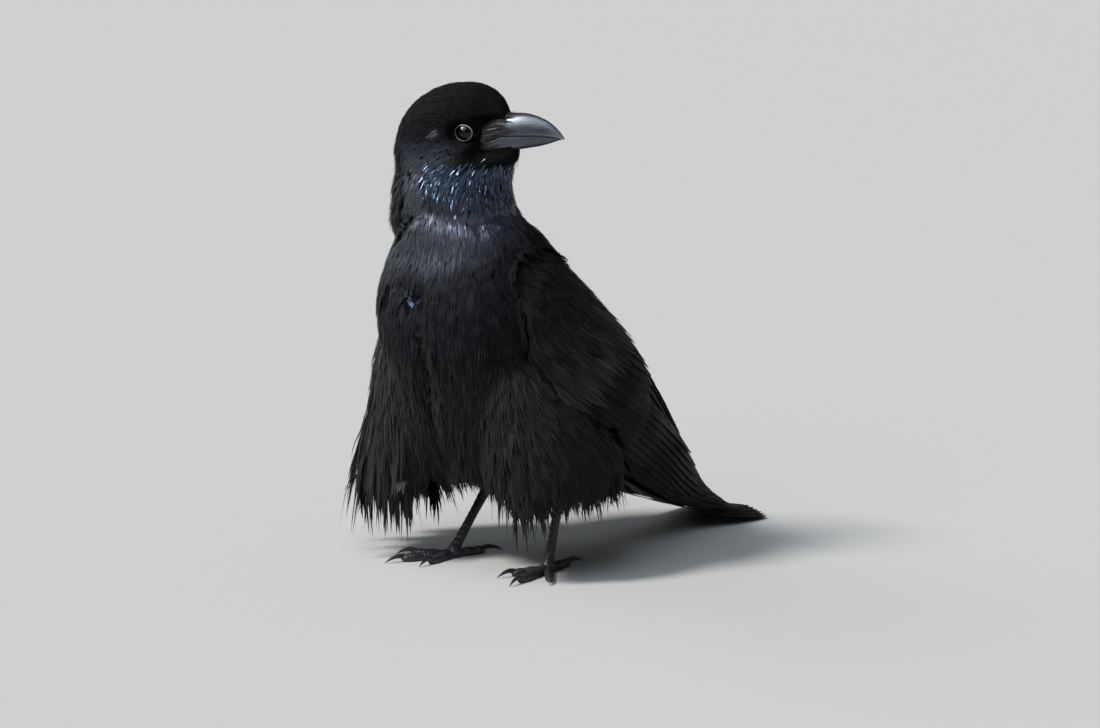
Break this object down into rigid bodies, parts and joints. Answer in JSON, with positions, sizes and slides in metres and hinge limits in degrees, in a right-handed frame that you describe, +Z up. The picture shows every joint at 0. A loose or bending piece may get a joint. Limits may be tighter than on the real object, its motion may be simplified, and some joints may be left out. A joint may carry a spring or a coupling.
{
  "type": "crow",
  "caption": "Life-size still model of a large-billed crow standing with fluffed feathers and its head turned over its left shoulder.",
  "frame": {"origin": "on the floor, under the middle of the whole bird's box", "axes": "+Z up; the body faces -Y, so the tail runs along +Y; the bird's left is +X, and its head is turned that way"},
  "size_m": [0.2128, 0.3426, 0.3561],
  "materials": {
    "body_feathers": "soft black feathers with a blue sheen on the throat and shoulders",
    "flight_feathers": "smooth black vanes with a faint gloss, browner on the wing",
    "bill": "black horn, satin, paler along its edges",
    "eye": "very dark brown, wet gloss",
    "leg_skin": "black scaled skin, satin",
    "claw": "black horn, satin"
  },
  "bodies": {
    "root": {"head": "body_feathers", "bill_upper": "bill", "bill_lower": "bill", "eye_left": "eye", "eye_right": "eye", "neck": "body_feathers", "trunk": "body_feathers", "flank_left": "body_feathers", "wing_left": "flight_feathers", "flank_right": "body_feathers", "wing_right": "flight_feathers", "undertail": "body_feathers", "tail": "flight_feathers", "tarsus_left": "leg_skin", "toe_middle_left": "leg_skin", "claw_middle_left": "claw", "toe_inner_left": "leg_skin", "claw_inner_left": "claw", "toe_outer_left": "leg_skin", "claw_outer_left": "claw", "toe_hind_left": "leg_skin", "claw_hind_left": "claw", "tarsus_right": "leg_skin", "toe_middle_right": "leg_skin", "claw_middle_right": "claw", "toe_inner_right": "leg_skin", "claw_inner_right": "claw", "toe_outer_right": "leg_skin", "claw_outer_right": "claw", "toe_hind_right": "leg_skin", "claw_hind_right": "claw"}
  },
  "joints": []
}
